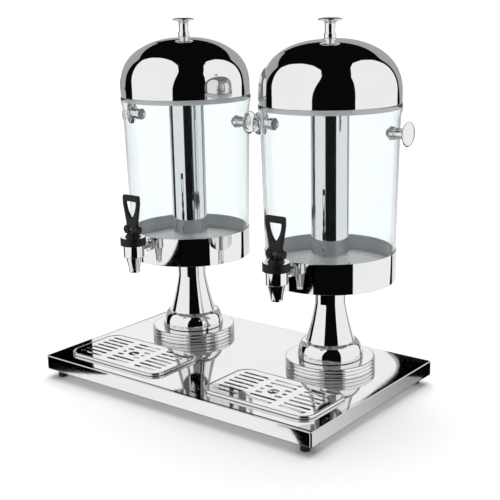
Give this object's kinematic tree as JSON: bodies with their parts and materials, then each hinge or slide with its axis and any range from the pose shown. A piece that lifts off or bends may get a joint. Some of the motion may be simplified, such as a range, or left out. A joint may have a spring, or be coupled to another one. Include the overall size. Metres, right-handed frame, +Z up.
{
  "type": "double juice dispenser",
  "caption": "Drink dispenser: clear vessels with domed steel lids, ice cores and lever taps, side by side on pedestal stands over a base plate with lift-out drip trays.",
  "frame": {"origin": "middle of the standing plane, under the base plate", "axes": "+Z up; the taps face -Y; the units stand side by side along X; left and right are as seen from the front"},
  "size_m": [0.5788, 0.3513, 0.5965],
  "materials": {
    "polished_steel": "mirror polished stainless steel",
    "plain_steel": "satin stainless steel",
    "spring_steel": "drawn wire",
    "chromed_brass": "polished chrome",
    "clear_plastic": "clear and glossy",
    "black_plastic": "satin moulded",
    "black_rubber": "matt moulded",
    "silicone": "translucent white silicone"
  },
  "bodies": {
    "base": {"base_plate": "polished_steel", "base_feet": "black_rubber", "foot_screws": "plain_steel", "tie_rods": "plain_steel", "tie_rod_nuts": "plain_steel", "tie_rod_cap_nuts": "plain_steel", "side_knob_screws": "plain_steel", "side_knob_washers": "silicone", "tap_lock_nuts": "plain_steel", "tap_washers": "silicone", "left_stand_rings": "polished_steel", "left_column_base": "polished_steel", "left_column": "polished_steel", "left_pan": "polished_steel", "left_pan_gasket": "silicone", "left_vessel": "clear_plastic", "left_side_knobs": "polished_steel", "left_tap_body": "chromed_brass", "left_tap_bonnet": "black_plastic", "left_tap_spring": "spring_steel", "right_stand_rings": "polished_steel", "right_column_base": "polished_steel", "right_column": "polished_steel", "right_pan": "polished_steel", "right_pan_gasket": "silicone", "right_vessel": "clear_plastic", "right_side_knobs": "polished_steel", "right_tap_body": "chromed_brass", "right_tap_bonnet": "black_plastic", "right_tap_spring": "spring_steel"},
    "left_lid_set": {"left_lid": "polished_steel", "left_lid_collar": "plain_steel", "left_lid_knob": "polished_steel", "left_lid_screw": "plain_steel"},
    "left_ice_core": {"left_ice_tube": "polished_steel", "left_ice_tube_plug": "plain_steel", "left_ice_tube_seal": "silicone"},
    "left_valve_stem": {"left_tap_stem": "plain_steel", "left_tap_seat_cup": "silicone", "left_tap_pin": "plain_steel"},
    "left_lever": {"left_tap_handle": "black_plastic"},
    "left_tray": {"left_drip_tray": "polished_steel"},
    "left_grate": {"left_drip_grate": "polished_steel"},
    "right_lid_set": {"right_lid": "polished_steel", "right_lid_collar": "plain_steel", "right_lid_knob": "polished_steel", "right_lid_screw": "plain_steel"},
    "right_ice_core": {"right_ice_tube": "polished_steel", "right_ice_tube_plug": "plain_steel", "right_ice_tube_seal": "silicone"},
    "right_valve_stem": {"right_tap_stem": "plain_steel", "right_tap_seat_cup": "silicone", "right_tap_pin": "plain_steel"},
    "right_lever": {"right_tap_handle": "black_plastic"},
    "right_tray": {"right_drip_tray": "polished_steel"},
    "right_grate": {"right_drip_grate": "polished_steel"}
  },
  "joints": [
    {"name": "left_lid_lift", "type": "slide", "parent": "base", "child": "left_lid_set", "axis": [0, 0, 1], "range_m": [0, 0.1]},
    {"name": "left_ice_core_lift", "type": "slide", "parent": "base", "child": "left_ice_core", "axis": [0, 0, 1], "range_m": [0, 0.09]},
    {"name": "left_stem_lift", "type": "slide", "parent": "base", "child": "left_valve_stem", "axis": [0, 0, 1], "range_m": [0, 0.002], "deforming": ["left_tap_spring"]},
    {"name": "left_lever_pull", "type": "hinge", "parent": "left_valve_stem", "child": "left_lever", "pos_m": [-0.148, -0.08, 0.257], "axis": [1, 0, 0], "range_deg": [0, 40], "stiffness_Nm_per_rad": 0.25, "springref_deg": -11.46},
    {"name": "left_tray_lift", "type": "slide", "parent": "base", "child": "left_tray", "axis": [0, 0, 1], "range_m": [0, 0.06]},
    {"name": "left_grate_lift", "type": "slide", "parent": "left_tray", "child": "left_grate", "axis": [0, 0, 1], "range_m": [0, 0.04]},
    {"name": "right_lid_lift", "type": "slide", "parent": "base", "child": "right_lid_set", "axis": [0, 0, 1], "range_m": [0, 0.1]},
    {"name": "right_ice_core_lift", "type": "slide", "parent": "base", "child": "right_ice_core", "axis": [0, 0, 1], "range_m": [0, 0.09]},
    {"name": "right_stem_lift", "type": "slide", "parent": "base", "child": "right_valve_stem", "axis": [0, 0, 1], "range_m": [0, 0.002], "deforming": ["right_tap_spring"]},
    {"name": "right_lever_pull", "type": "hinge", "parent": "right_valve_stem", "child": "right_lever", "pos_m": [0.148, -0.08, 0.257], "axis": [1, 0, 0], "range_deg": [0, 40], "stiffness_Nm_per_rad": 0.25, "springref_deg": -11.46},
    {"name": "right_tray_lift", "type": "slide", "parent": "base", "child": "right_tray", "axis": [0, 0, 1], "range_m": [0, 0.06]},
    {"name": "right_grate_lift", "type": "slide", "parent": "right_tray", "child": "right_grate", "axis": [0, 0, 1], "range_m": [0, 0.04]}
  ],
  "couplings": [
    {"joint": "left_stem_lift", "follows": "left_lever_pull", "m_per_rad": 0.002864},
    {"joint": "right_stem_lift", "follows": "right_lever_pull", "m_per_rad": 0.002864}
  ]
}
